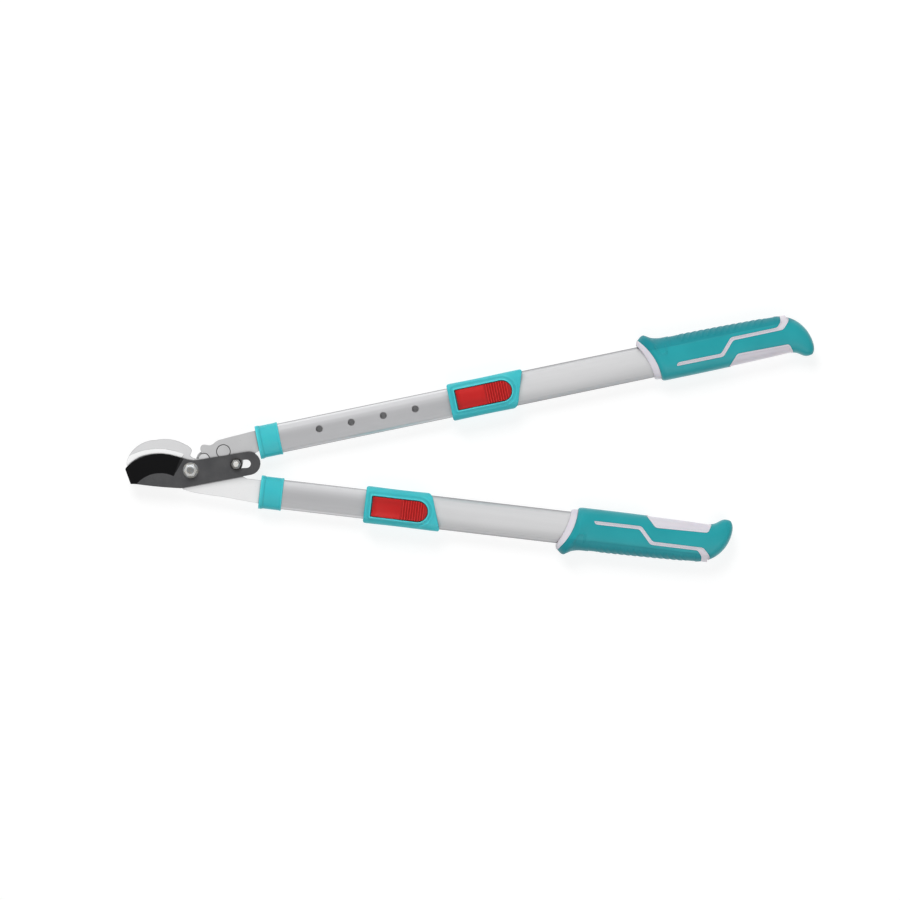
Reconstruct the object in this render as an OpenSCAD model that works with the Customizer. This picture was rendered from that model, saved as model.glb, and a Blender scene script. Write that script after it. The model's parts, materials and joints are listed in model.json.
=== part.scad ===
// Telescopic bypass loppers, lying flat. +Z is the front, where the nuts and lock levers are.
// The pivot axis is the Z axis. Z = 0 is the back face of the pivot bolt's head. The handles
// point along +X, and the hook jaw is on the +Y side of the blade.

/* [Head] */
// Thickness of the hook plate and the drive lever
plate_t = 6; // [5:0.5:7]
// Thickness of the cutting blade
blade_t = 4; // [3:0.5:5]
// Shank diameter of the blade's pivot bolt
pivot_d = 8; // [6:1:9]
// Shank diameter of the bolt that runs in the blade's slot
slot_bolt_d = 6; // [5:0.5:6.5]
// Radius of the hook plate's round knuckle, which the drive lever turns on
knuckle_r = 6.85; // [6.5:0.05:7]
// Thickness that the blade's ground bevel leaves at the cutting edge
edge_t = 0.7; // [0.3:0.1:1.5]

/* [Handles] */
// Angle of each handle to the X axis when the loppers are shut
handle_angle = 9.2; // [9:0.1:9.6]
// Distance of each handle's axis from the pivot
handle_offset = 15.3; // [15:0.1:16]
// Width of the inner tube
inner_w = 33.6; // [33:0.1:34]
// Thickness of the inner tube
inner_h = 18; // [17:0.5:18.5]
// Width of the outer tube
outer_w = 37.6; // [37.4:0.1:38.4]
// Thickness of the outer tube
outer_h = 22; // [21.5:0.5:22.5]
// Wall of both tubes
tube_wall = 1.5; // [1.2:0.1:1.6]

/* [Telescope] */
// Distance of the upper clamp housing along its handle, pulled right out
upper_reach = 304.5; // [295:0.5:310]
// Distance of the lower clamp housing along its handle, pushed right in
lower_reach = 201.5; // [190:0.5:215]
// Distance between lock holes
hole_pitch = 37.2; // [36:0.1:38]
// Diameter of the lock holes
hole_d = 8; // [7:0.5:8]
// Distance of the upper tube's first lock hole along its handle
first_hole = 153; // [150:0.5:160]

/* [Clamp and lock] */
// Length of the clamp housing on its outer side
clamp_len = 88; // [86:1:92]
// Width of the clamp housing
clamp_w = 42.6; // [42:0.1:44]
// Distance from the tube's mid-plane to the housing's back face
clamp_back = 14; // [13.5:0.5:16]
// Distance from the tube's mid-plane to the housing's front face
clamp_front = 18; // [18:0.5:19]
// Width of the lock lever
lever_w = 23; // [20:0.5:23]
// Number of ribs on the lever's thumb end
lever_ribs = 9; // [5:1:9]

/* [Grips] */
// Distance from the housing's end to the start of the grip
grip_start = 221; // [218:1:226]
// Thickness of the grip's main body
grip_h = 32; // [31:0.5:34]
// Thickness of the grip's flare
flare_h = 38; // [36:1:40]

/* [Hidden] */

$fn = 96;
hull_fn = 32;
arc_steps = 14;
nudge = 1;

// Levels of the head's layers, from the back
bolt_head_h = 4.5;
plate_z = bolt_head_h;
plate_top = plate_z + plate_t;
mid_z = plate_z + plate_t / 2;
blade_gap = 0.1;
blade_z = plate_top + blade_gap;
blade_top = blade_z + blade_t;
washer_z = blade_top + blade_gap;

// Places in the head
knuckle = [15.4, 12.2];
socket_gap = 0.08;
jaw_r = 11.5;
slot_bolt_at = [52.2, 4.6];
slot_w = 9.3;
slot_start = 51.4;
slot_end = 64;
slot_bush_r = slot_w / 2 - 0.34;
rivet_at = [38, 19.7];
rivet_head_r = 7.35;
rivet_r = 4;
rivet_groove = 0.9;
knuckle_rebate = 0.8;
rebate_depth = 1.6;
bolt_gap = 0.06;

// Places along a handle
collar_start = 81;
collar_end = 107;
tube_start = 84;
tang_end = 126;
tube_end = 395;
oval_end_at = 10.3;
shank_half = 13.3;
tang_half = 11;
upper_tang_low = -8.6;
slide_gap = 0.1;

// Places in the clamp housing, from its head end
throat_len = 28;
lever_shift = 1.2;
lock_pin_at = 16.4;
lever_pin_at = 40;
lever_pin_z = 15.6;
lever_pin_r = 1.5;
lever_pin_half = 14.2;
pocket_start = 7.5;
pocket_round_at = 60.3;
pocket_gap = 0.4;
pocket_floor = 12.5;
throat_floor = inner_h / 2 + 1.7;
lock_pin_r = hole_d / 2 - 0.1;
spring_at = 60.5;
spring_r = 2.6;
spring_wire_r = 0.4;
screw_places = [46, 70];

teal = [0.05, 0.52, 0.52];
turquoise = [0.2, 0.76, 0.78];
lavender = [0.8, 0.77, 0.84];
silver = [0.82, 0.82, 0.83];
steel = [0.7, 0.71, 0.72];

// ---- Helpers ----

// Points of an arc from p towards q. rise is its height to the right of the straight line.
function bow(p, q, rise) =
    rise == 0 ? [p] :
    let (chord = q - p,
         out = [chord.y, -chord.x] / norm(chord),
         radius = (chord * chord / 4 + rise * rise) / (2 * rise),
         centre = (p + q) / 2 + out * (rise - radius),
         sweep = 4 * atan(2 * rise / norm(chord)),
         spoke = p - centre)
    [for (i = [0 : arc_steps - 1])
        let (a = sweep * i / arc_steps)
        centre + [spoke.x * cos(a) - spoke.y * sin(a), spoke.x * sin(a) + spoke.y * cos(a)]];

// A closed outline, anticlockwise, from knots [x, y, rise of the edge that follows].
function rounded(knots) = [
    for (i = [0 : len(knots) - 1])
        let (a = knots[i], b = knots[(i + 1) % len(knots)])
        each bow([a.x, a.y], [b.x, b.y], a[2])
];

// A point on the upper handle, s along its axis and t outwards, in the head's plane.
function on_upper(s, t) = [
    s * cos(handle_angle) - (t + handle_offset) * sin(handle_angle),
    s * sin(handle_angle) + (t + handle_offset) * cos(handle_angle)
];

function on_lower(s, t) = [on_upper(s, t).x, -on_upper(s, t).y];

function knot(p, rise = 0) = [p.x, p.y, rise];

module slab(z0, z1) {
    translate([0, 0, z0]) linear_extrude(z1 - z0) children();
}

// An extrusion along the handle: the section's x is the handle's t, and its y is z.
module along(s0, s1) {
    translate([s0, 0, 0]) rotate([90, 0, 90]) linear_extrude(s1 - s0) children();
}

// Oval section of a tube, from four arcs that meet smoothly: two wide faces and two round ends
module oval(w, h) {
    longer = (w - h) / 2;
    face_centre = longer * (2 * oval_end_at - longer) / (2 * (oval_end_at - longer));
    face_r = h / 2 + face_centre;
    meet_x = face_r * oval_end_at / norm([oval_end_at, face_centre]);
    intersection() {
        square([2 * meet_x, h], center = true);
        translate([0, -face_centre]) circle(r = face_r, $fn = 4 * $fn);
        translate([0, face_centre]) circle(r = face_r, $fn = 4 * $fn);
    }
    for (side = [-1, 1]) translate([side * oval_end_at, 0]) circle(r = w / 2 - oval_end_at);
}

// Flat-sided oval section
module stadium(w, h) {
    square([w - h, h], center = true);
    for (side = [-1, 1]) translate([side * (w - h) / 2, 0]) circle(d = h);
}

module disc(at, r, z0, z1) {
    translate([at.x, at.y, z0]) cylinder(r = r, h = z1 - z0);
}

module upper_frame(s = 0) {
    rotate([0, 0, handle_angle]) translate([s, handle_offset, mid_z]) children();
}

module lower_frame(s = 0) {
    mirror([0, 1, 0]) upper_frame(s) children();
}

// Hexagon with both faces chamfered down to a circle
module hex_body(across, z0, z1) {
    chamfer = across * 0.09;
    corner_r = across / 2 / cos(30);
    intersection() {
        translate([0, 0, z0]) cylinder(r = corner_r, h = z1 - z0, $fn = 6);
        rotate_extrude()
            polygon([
                [0, z0], [across / 2 - 0.1, z0], [across / 2 + 1.2, z0 + chamfer],
                [across / 2 + 1.2, z1 - chamfer], [across / 2 - 0.1, z1], [0, z1]
            ]);
    }
}

// Bolt from the back: hexagon head below z0, shank up to z1
module bolt(d, across, head_h, z0, z1) {
    hex_body(across, z0 - head_h, z0);
    chamfer = d * 0.1;
    rotate_extrude()
        polygon([[0, z0 - 1], [d / 2, z0 - 1], [d / 2, z1 - chamfer],
                 [d / 2 - chamfer, z1], [0, z1]]);
}

// Lock nut: hexagon with a domed ring in front
module lock_nut(d, across, hex_h, z0) {
    ring_r = across / 2 - 0.6;
    dome = across * 0.12;
    difference() {
        union() {
            hex_body(across, z0, z0 + hex_h);
            rotate_extrude()
                polygon([[0, z0 + 1], [ring_r, z0 + 1], [ring_r, z0 + hex_h + dome],
                         [ring_r - dome, z0 + hex_h + 2 * dome], [0, z0 + hex_h + 2 * dome]]);
        }
        translate([0, 0, z0 - nudge]) cylinder(d = d + 0.06, h = 4 * hex_h);
    }
}

module washer(r, bore_r, z0, t) {
    difference() {
        translate([0, 0, z0]) cylinder(r = r, h = t);
        translate([0, 0, z0 - nudge]) cylinder(r = bore_r, h = t + 2 * nudge);
    }
}

// ---- Head ----

hook_bevel_centre = [-39.3, -41.6];
hook_bevel_r = 68.2;
hook_inner_r = 56.4;
hook_bevel_drop = 1.2;

module hook_outline() {
    polygon(rounded([
        [-70.5, 5.4, -7.6],
        [-14, 8.7, 2.5],
        [-10, -21.2, 0.5],
        [9, -27.1, 0],
        [38.4, -32.7, 0],
        knot(on_lower(80, shank_half)),
        knot(on_lower(tube_start, shank_half)),
        knot(on_lower(tube_start, tang_half)),
        knot(on_lower(tang_end, tang_half)),
        knot(on_lower(tang_end, -tang_half)),
        knot(on_lower(tube_start, -tang_half)),
        knot(on_lower(tube_start, -shank_half)),
        knot(on_lower(64, -shank_half), 1.2),
        [48, -7.2, 0],
        [30, -3.6, 0],
        [20, -0.9, 0],
        [12.7, 0.4, 0],
        knot(knuckle),
        [6.3, 13.2, -0.5],
        [0.3, 16, -0.5],
        [0.75, 18.9, 0],
        [2.1, 22.5, 0.6],
        [-1.1, 27, 0.3],
        [-5.3, 29.7, 3.2],
        [-38.5, 36.3, 6.4],
        [-72.6, 14.2, 0.4],
        [-72.4, 8.2, 0.3]
    ]));
}

// The hook's front face slopes back towards its inner edge, as far as the heel
module hook_bevel() {
    slope = (hook_bevel_r - hook_inner_r) / hook_bevel_drop;
    intersection() {
        translate([hook_bevel_centre.x, hook_bevel_centre.y, plate_top - hook_bevel_drop])
            cylinder(r1 = hook_inner_r, r2 = hook_bevel_r + slope * nudge, h = hook_bevel_drop + nudge);
        slab(0, 2 * plate_top) polygon([[-90, -10], [-13, 6], [-5, 24], [-90, 60]]);
    }
}

module hook_jaw() color(steel) difference() {
    union() {
        slab(plate_z, plate_top) hook_outline();
        disc(knuckle, knuckle_r, plate_z, plate_top - rebate_depth);
        disc(knuckle, knuckle_r - knuckle_rebate, plate_z, plate_top);
    }
    disc([0, 0], pivot_d / 2 + bolt_gap, 0, 2 * plate_top);
    hook_bevel();
    lower_frame() shank_pin_holes();
}

blade_tail = [66, 4.9];
blade_tail_r = 13.3;
blade_bevel_centre = [-36.3, -37.2];
blade_edge_r = 57.6;
blade_bevel_r = 35.5;
bevel_drop = blade_t - edge_t;

module blade_outline() {
    polygon(rounded([
        [-69, -12.6, 0],
        [-63, -13, 0.6],
        [-12, -20, 0],
        [67.9, -8.3, 13.6],
        [64.3, 18.1, 0],
        [12, 11.7, 0],
        [6, 11.1, -0.5],
        [-5, 12.9, 0.3],
        [-23, 18.8, 1.2],
        [-48, 19.9, 2.4],
        [-72.2, 7.5, 0.5],
        [-74.6, 4.2, 0]
    ]));
    translate(blade_tail) circle(r = blade_tail_r);
}

// The part of the blade's front that is ground away: outside a cone, up to a sloping heel
module blade_bevel() {
    heel_at = [-14.2, 2.6];
    heel_angle = 57.6;
    heel_slope = 50;
    intersection() {
        translate([blade_bevel_centre.x, blade_bevel_centre.y, blade_top - bevel_drop])
            rotate_extrude()
                polygon([[blade_edge_r, 0], [90, 0], [90, bevel_drop + nudge],
                         [blade_bevel_r - nudge * (blade_edge_r - blade_bevel_r) / bevel_drop,
                          bevel_drop + nudge]]);
        translate([heel_at.x, heel_at.y, blade_top])
            rotate([0, 0, heel_angle])
                rotate([heel_slope, 0, 0])
                    translate([-100, 0, -100]) cube([200, 100, 200]);
    }
}

module cutting_blade() color([0.13, 0.13, 0.14]) difference() {
    slab(blade_z, blade_top) blade_outline();
    disc([0, 0], pivot_d / 2 + bolt_gap, 0, 2 * blade_top);
    slab(0, 2 * blade_top) {
        translate([slot_start, slot_bolt_at.y - slot_w / 2])
            square([slot_end - slot_start, slot_w]);
        for (x = [slot_start, slot_end]) translate([x, slot_bolt_at.y]) circle(d = slot_w);
    }
    blade_bevel();
}

module lever_outline() {
    polygon(rounded([
        [15.4, 1, 0],
        [30, -2, 0],
        [44, -3.4, 0],
        [54, -2.2, 0.8],
        [58.9, 3.4, 0.2],
        [60.2, 9.8, -1],
        [70, 13.5, -0.4],
        knot(on_upper(tube_start, upper_tang_low)),
        knot(on_upper(tang_end, upper_tang_low)),
        knot(on_upper(tang_end, tang_half)),
        knot(on_upper(tube_start, tang_half)),
        knot(on_upper(tube_start, 14)),
        [71.7, 41.3, 0],
        [43.8, 35.5, 0],
        [34, 33.3, 0.5],
        [27, 29.2, -0.8],
        [20.1, 28, 0.2],
        [15, 28.6, 1.2],
        [11.9, 23.6, 0.3],
        [11.9, 22.2, 0]
    ]));
    translate(knuckle) circle(r = jaw_r);
    translate(slot_bolt_at) circle(r = 6.9);
}

// The opening on the left of the lever's socket, which clears the knuckle's neck
module socket_mouth() {
    reach = 40;
    polygon([
        knuckle,
        for (a = [109, 145, 180, 220, 262]) knuckle + reach * [cos(a), sin(a)]
    ]);
}

module drive_lever() color(steel) difference() {
    slab(plate_z, plate_top) lever_outline();
    slab(0, 2 * plate_top) socket_mouth();
    disc(knuckle, knuckle_r + socket_gap, 0, 2 * plate_top);
    disc(slot_bolt_at, slot_bolt_d / 2 + bolt_gap, 0, 2 * plate_top);
    disc(rivet_at, rivet_r + bolt_gap, 0, 2 * plate_top);
    disc(rivet_at, rivet_head_r + rivet_groove, plate_top - 2, 2 * plate_top);
    upper_frame() shank_pin_holes();
}

pivot_washer_t = 2;
pivot_nut_h = 5.2;

module pivot_bolt() color(silver)
    bolt(pivot_d, 13, bolt_head_h, plate_z, washer_z + pivot_washer_t + pivot_nut_h + 4.4);

// Conical spring washer: hollow underneath, with a sloping rim
module pivot_washer() color(silver) {
    bore_r = pivot_d / 2 + 0.2;
    rim_r = 9;
    translate([0, 0, washer_z])
        rotate_extrude()
            polygon([
                [bore_r, 0.3], [rim_r, 0], [rim_r, 0.7],
                [rim_r - 2.2, pivot_washer_t], [bore_r, pivot_washer_t]
            ]);
}

module pivot_nut() color(silver)
    lock_nut(pivot_d, 13, pivot_nut_h, washer_z + pivot_washer_t);

slot_washer_t = 1.4;
slot_nut_h = 4.2;

module at_slot() {
    translate([slot_bolt_at.x, slot_bolt_at.y, 0]) children();
}

module slot_bolt() color(silver) at_slot()
    bolt(slot_bolt_d, 10, 4, plate_z, washer_z + slot_washer_t + slot_nut_h + 3.2);

module slot_bush() color([0.45, 0.45, 0.47]) at_slot()
    washer(slot_bush_r, slot_bolt_d / 2 + bolt_gap, plate_top, washer_z - plate_top);

module slot_washer() color([0.16, 0.16, 0.17]) at_slot()
    washer(7, slot_bolt_d / 2 + 0.15, washer_z, slot_washer_t);

module slot_nut() color(silver) at_slot()
    lock_nut(slot_bolt_d, 10, slot_nut_h, washer_z + slot_washer_t);

keeper_gap = 0.06;
keeper_t = 2;
keeper_z = plate_z - keeper_gap - keeper_t;

module keeper_rivet() color(steel) {
    dish_r = 30;
    difference() {
        disc(rivet_at, rivet_head_r, plate_top - 2, plate_top);
        translate([rivet_at.x, rivet_at.y, plate_top + dish_r - 0.6]) sphere(r = dish_r);
    }
    disc(rivet_at, rivet_r, keeper_z, plate_top - 1.5);
    disc(rivet_at, 6.2, keeper_z - 1.4, keeper_z);
}

// Plate behind the knuckle, which keeps the lever's socket from sliding off sideways
module keeper_plate() color(steel) {
    span = rivet_at - knuckle;
    difference() {
        slab(keeper_z, keeper_z + keeper_t) {
            translate(knuckle) circle(r = 9);
            translate(rivet_at) circle(r = 9);
            translate(knuckle) rotate(atan2(span.y, span.x))
                translate([0, -9]) square([norm(span), 18]);
        }
        disc(rivet_at, rivet_r + bolt_gap, 0, plate_top);
    }
}

// ---- Inner half of a handle, the same in both handles ----

shank_pin_r = 2.5;
shank_pin_place = 94.5;

module shank_pin_row(r, z0, z1) {
    for (t = [-4.5, 6.5]) translate([shank_pin_place, t, z0]) cylinder(r = r, h = z1 - z0);
}

module shank_pin_holes() {
    shank_pin_row(shank_pin_r + 0.02, -inner_h, inner_h);
}

module shank_pins() {
    below_face = 1.8;
    shank_pin_row(shank_pin_r, below_face - inner_h / 2, inner_h / 2 - below_face);
}

// Moulded sleeve with a lip over the tube's end
module collar() {
    wall = 1.7;
    fit = 0.1;
    lip_len = 4.4;
    lip = 0.7;
    foot_len = 2;
    foot = 0.4;
    difference() {
        union() {
            along(collar_start, collar_end) oval(inner_w + 2 * wall, inner_h + 2 * wall);
            along(collar_start, collar_start + lip_len)
                oval(inner_w + 2 * (wall + lip), inner_h + 2 * (wall + lip));
            along(collar_end - foot_len, collar_end)
                oval(inner_w + 2 * (wall + foot), inner_h + 2 * (wall + foot));
        }
        along(tube_start, collar_end + nudge) oval(inner_w + 2 * fit, inner_h + 2 * fit);
        along(collar_start - nudge, tube_start + nudge)
            square([29.2, plate_t + 0.4], center = true);
    }
}

// Liner that packs the tang out to the inside of the tube
module shank_plug(tang_low) {
    bore_w = inner_w - 2 * tube_wall;
    bore_h = inner_h - 2 * tube_wall;
    difference() {
        along(tube_start, tang_end + 3) oval(bore_w - 0.1, bore_h - 0.1);
        along(tube_start - nudge, tang_end + 0.3)
            translate([tang_low - 0.1, -plate_t / 2 - 0.05])
                square([tang_half - tang_low + 0.2, plate_t + 0.1]);
        shank_pin_holes();
    }
}

module inner_tube(holes) {
    difference() {
        along(tube_start, tube_end) oval(inner_w, inner_h);
        along(tube_start - nudge, tube_end + nudge)
            oval(inner_w - 2 * tube_wall, inner_h - 2 * tube_wall);
        shank_pin_holes();
        for (s = holes) translate([s, lever_shift, 0]) cylinder(d = hole_d, h = inner_h);
    }
}

// Slide bush on the inner end of the inner tube
module guide_plug() {
    head_len = 6;
    difference() {
        union() {
            along(tube_end - 20, tube_end + 0.5)
                oval(inner_w - 2 * tube_wall - 0.1, inner_h - 2 * tube_wall - 0.1);
            along(tube_end, tube_end + head_len)
                oval(outer_w - 2 * tube_wall - 2 * slide_gap, outer_h - 2 * tube_wall - 2 * slide_gap);
        }
        along(tube_end - 21, tube_end + head_len + nudge)
            oval(inner_w - 2 * tube_wall - 5, inner_h - 2 * tube_wall - 5);
    }
}

upper_holes = [
    for (i = [0 : 3]) first_hole + i * hole_pitch,
    upper_reach + lock_pin_at
];
lower_holes = [for (i = [0 : 3]) lower_reach + lock_pin_at + i * hole_pitch];

module upper_collar() color(turquoise) upper_frame() collar();
module lower_collar() color(turquoise) lower_frame() collar();
module upper_shank_plug() color("dimgray") upper_frame() shank_plug(upper_tang_low);
module lower_shank_plug() color("dimgray") lower_frame() shank_plug(-tang_half);
module upper_shank_pins() color(steel) upper_frame() shank_pins();
module lower_shank_pins() color(steel) lower_frame() shank_pins();
module upper_inner_tube() color(silver) upper_frame() inner_tube(upper_holes);
module lower_inner_tube() color(silver) lower_frame() inner_tube(lower_holes);
module upper_guide_plug() color("dimgray") upper_frame() guide_plug();
module lower_guide_plug() color("dimgray") lower_frame() guide_plug();

// ---- Outer half of a handle: its zero is the clamp housing's head end ----

tube_in_clamp = throat_len + 0.5;
outer_tube_end = 372;

module clamp_outline() {
    half = clamp_w / 2;
    corner = 2.5;
    polygon(rounded([
        [0, -half + corner, 0.7],
        [corner, -half, 0],
        [clamp_len - 17, -half, 0.5],
        [clamp_len - 12, -half + 4.5, 0],
        [clamp_len - 0.6, half - corner - 0.6, 0.7],
        [clamp_len - 2.6, half, 0],
        [corner, half, 0.7],
        [0, half - corner, 0]
    ]));
}

module clamp_section() {
    corner = 9;
    height = clamp_back + clamp_front;
    translate([0, (clamp_front - clamp_back) / 2]) {
        square([clamp_w - 2 * corner, height], center = true);
        square([clamp_w, height - 2 * corner], center = true);
        for (x = [-1, 1], y = [-1, 1])
            translate([x * (clamp_w / 2 - corner), y * (height / 2 - corner)]) circle(r = corner);
    }
}

// Plan of the lever or of its pocket: square at the head end and round at the thumb end
module lever_plan(inset) {
    w = lever_w + 2 * pocket_gap - 2 * inset;
    translate([pocket_start + 1.5 * inset, lever_shift - w / 2])
        square([pocket_round_at - pocket_start - 1.5 * inset, w]);
    translate([pocket_round_at, lever_shift]) circle(d = w);
}

module screw_shank(x, r) {
    translate([x, 0, -clamp_back - nudge]) cylinder(r = r, h = clamp_back + nudge - 9.4);
}

module screw_head(x, gap) {
    translate([x, 0, -clamp_back - nudge])
        cylinder(r = 3 + gap, h = nudge + 0.4 + gap);
    translate([x, 0, -clamp_back + 0.4])
        cylinder(r1 = 3 + gap, r2 = 1.45 + gap, h = 1.6);
}

module clamp_housing() {
    difference() {
        intersection() {
            slab(-clamp_back, clamp_front) clamp_outline();
            along(-nudge, clamp_len + nudge) clamp_section();
        }
        along(-nudge, throat_len + nudge)
            oval(inner_w + 2 * slide_gap, inner_h + 2 * slide_gap);
        along(throat_len, clamp_len + nudge) oval(outer_w + 0.1, outer_h + 0.1);
        slab(pocket_floor, clamp_front + nudge) lever_plan(0);
        intersection() {
            slab(throat_floor, clamp_front + nudge) lever_plan(0);
            translate([0, -lever_w, 0]) cube([throat_len - 1, 2 * lever_w, clamp_front]);
        }
        translate([lock_pin_at, lever_shift, 0]) cylinder(r = lock_pin_r + 0.06, h = clamp_front);
        translate([lever_pin_at, lever_shift - lever_w, lever_pin_z])
            rotate([-90, 0, 0])
                translate([0, 0, lever_w - lever_pin_half - 0.1])
                    cylinder(r = lever_pin_r + 0.02, h = 2 * lever_pin_half + 0.2);
        for (x = screw_places) {
            screw_shank(x, 1.5);
            screw_head(x, 0.05);
        }
    }
}

module lever_pin() {
    translate([lever_pin_at, lever_shift - lever_pin_half, lever_pin_z])
        rotate([-90, 0, 0]) cylinder(r = lever_pin_r, h = 2 * lever_pin_half);
}

// Side view of the lever, x along the handle and y up
module lever_side() {
    rib_pitch = 2.9;
    first_rib = 42.5;
    polygon([
        [0, 15.5], [20, 14.3], [34, 14.3], [37, 13.9], [90, 13.9], [90, 18.6],
        [first_rib + rib_pitch * lever_ribs + 1, 19],
        for (i = [lever_ribs - 1 : -1 : 0], p = [[2.2, 19], [1.8, 20.1], [0.8, 20.1], [0.4, 19]])
            [first_rib + i * rib_pitch + p.x, p.y],
        [41, 19], [36, 18.4], [24, 18.3], [13, 18.7], [pocket_start + 1, 18.4], [0, 17.6]
    ]);
}

module lock_lever() {
    web_top = 15.9;
    difference() {
        union() {
            intersection() {
                slab(13, 22) lever_plan(pocket_gap);
                translate([0, lever_shift + lever_w, 0])
                    rotate([90, 0, 0]) linear_extrude(2 * lever_w) lever_side();
            }
            translate([lever_pin_at, lever_shift - lever_w / 2, lever_pin_z])
                rotate([-90, 0, 0]) cylinder(r = 2.8, h = lever_w);
        }
        translate([lever_pin_at, lever_shift - lever_w, lever_pin_z])
            rotate([-90, 0, 0]) cylinder(r = lever_pin_r + 0.06, h = 2 * lever_w);
        // Slot for the lock pin's neck, and a wider one over it for its head
        slab(12, web_top + nudge / 2) translate([0, lever_shift - 2.4]) square([lock_pin_at, 4.8]);
        disc([lock_pin_at, lever_shift], 2.4, 12, web_top + nudge / 2);
        slab(web_top, 17.8) translate([0, lever_shift - 3.7]) square([lock_pin_at, 7.4]);
        disc([lock_pin_at, lever_shift], 3.7, web_top, 17.8);
        // Seat for the spring
        disc([spring_at, lever_shift], spring_r + 1, 12, 15.7);
    }
}

// Pin with a necked head that hangs in the lever's slot
module lock_pin() {
    translate([lock_pin_at, lever_shift, 0])
        rotate_extrude()
            polygon([
                [0, 9.3], [lock_pin_r - 0.6, 9.3], [lock_pin_r, 9.9], [lock_pin_r, 13.2],
                [1.9, 13.2], [1.9, 16.35], [3.1, 16.35], [3.1, 17.1], [2.9, 17.3], [0, 17.3]
            ]);
}

// Coil spring: a round wire swept up a helix
module lock_spring() {
    turns = 2.3;
    steps = 20;
    ring = 8;
    base = pocket_floor + spring_wire_r + 0.02;
    rise = 2.2;
    n = ceil(turns * steps);
    points = [
        for (i = [0 : n], j = [0 : ring - 1])
            let (a = 360 * turns * i / n, b = 360 * j / ring,
                 r = spring_r + spring_wire_r * cos(b))
            [r * cos(a), r * sin(a), base + rise * i / n + spring_wire_r * sin(b)]
    ];
    sides = [
        for (i = [0 : n - 1], j = [0 : ring - 1])
            let (k = (j + 1) % ring)
            [i * ring + j, (i + 1) * ring + j, (i + 1) * ring + k, i * ring + k]
    ];
    ends = [
        [for (j = [0 : ring - 1]) j],
        [for (j = [ring - 1 : -1 : 0]) n * ring + j]
    ];
    translate([spring_at, lever_shift, 0]) polyhedron(points, concat(sides, ends));
}

module outer_tube() {
    difference() {
        along(tube_in_clamp, outer_tube_end) oval(outer_w, outer_h);
        along(tube_in_clamp - nudge, outer_tube_end + nudge)
            oval(outer_w - 2 * tube_wall, outer_h - 2 * tube_wall);
        for (x = screw_places) screw_shank(x, 1.5);
    }
}

module housing_screws() {
    for (x = screw_places) {
        intersection() {
            union() {
                screw_shank(x, 1.45);
                screw_head(x, 0);
            }
            translate([x - 5, -5, -clamp_back]) cube([10, 10, clamp_back]);
        }
    }
}

// ---- Grip: its zero is the start of its collar ring ----

grip_low = -25;
grip_high = 24;
grip_tube_end = outer_tube_end - grip_start;
core_w = 41;
core_h = 26.6;

// Curved, slanting edge of the ring on the tube's side, as knots from the top down
tube_side_edge = [[-0.2, 26, -0.8], [8, 5, -1], [13.4, -10, -0.6], [15, -30, 0]];
// The same on the cover's side
cover_side_edge = [[1.5, 30, 0], [2.8, 25.6, -1.2], [14.8, 9.4, -1], [21, -7, -0.8], [24, -30, 0]];

function turned(knots) = [
    for (i = [len(knots) - 1 : -1 : 0])
        [knots[i].x, knots[i].y, i > 0 ? -knots[i - 1][2] : 0]
];

module before_cover() {
    polygon(rounded(concat([[-30, 40, 0], [-30, -40, 0], [24, -40, 0]], turned(cover_side_edge))));
}

module before_ring() {
    polygon(rounded(concat([[-30, 40, 0], [-30, -40, 0], [15, -40, 0]], turned(tube_side_edge))));
}

module stripe_plan() {
    w = 3.6;
    run_1 = [41, -9.7];
    run_2 = [93.5, -9.9];
    run_3 = [108, 6];
    run_4 = [162, 6.2];
    run_5 = [167.5, 26];
    polygon([
        [run_1.x + 1, run_1.y - w / 2], [run_2.x + 1, run_2.y - w / 2],
        [run_3.x + 1, run_3.y - w / 2], [run_4.x + 5, run_4.y - w / 2],
        [run_4.x + 8.5, run_4.y + 3], [run_5.x + 9, run_5.y], run_5,
        [run_4.x + 1.5, run_4.y + 5], [run_4.x - 2, run_4.y + w / 2],
        [run_3.x - 1, run_3.y + w / 2], [run_2.x - 1, run_2.y + w / 2],
        [run_1.x - 1, run_1.y + w / 2]
    ]);
}

module pad_plan() {
    polygon([[98.8, -30], [98.8, -25], [111, -12], [170, -13], [173.4, -20], [173.4, -30]]);
}

module grip_section(low, high, h) {
    translate([(low + high) / 2, 0]) stadium(high - low, h);
}

// One slice of the grip's outer form
module slice(x, low, high, h) {
    along(x, x + 0.5) grip_section(low, high, h, $fn = hull_fn);
}

module grip_form() {
    hull() {
        slice(-3, grip_low, 26.5, flare_h - 2);
        slice(9.5, grip_low, 29.3, flare_h);
    }
    hull() {
        slice(9.5, grip_low, 29.3, flare_h);
        slice(23, grip_low, grip_high, grip_h);
    }
    hull() {
        slice(23, grip_low, grip_high, grip_h);
        slice(165, grip_low + 1.5, grip_high - 3, grip_h);
    }
    hull() {
        slice(165, grip_low + 1.5, grip_high - 3, grip_h);
        slice(178, grip_low, 16, grip_h - 1);
    }
    hull() {
        slice(178, grip_low, 16, grip_h - 1);
        slice(188, -30.6, 6, grip_h - 5);
    }
    hull() {
        slice(188, -30.6, 6, grip_h - 5);
        slice(197.3, -24, -7, grip_h - 18);
    }
}

module inlay_limit() {
    hull() {
        slice(23, grip_low, grip_high, grip_h);
        slice(165, grip_low + 1.5, grip_high - 3, grip_h);
    }
    hull() {
        slice(165, grip_low + 1.5, grip_high - 3, grip_h);
        slice(178, grip_low, 16, grip_h - 1);
    }
}

module grip_inlays() {
    slab(-grip_h, grip_h) {
        stripe_plan();
        pad_plan();
    }
}

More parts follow.
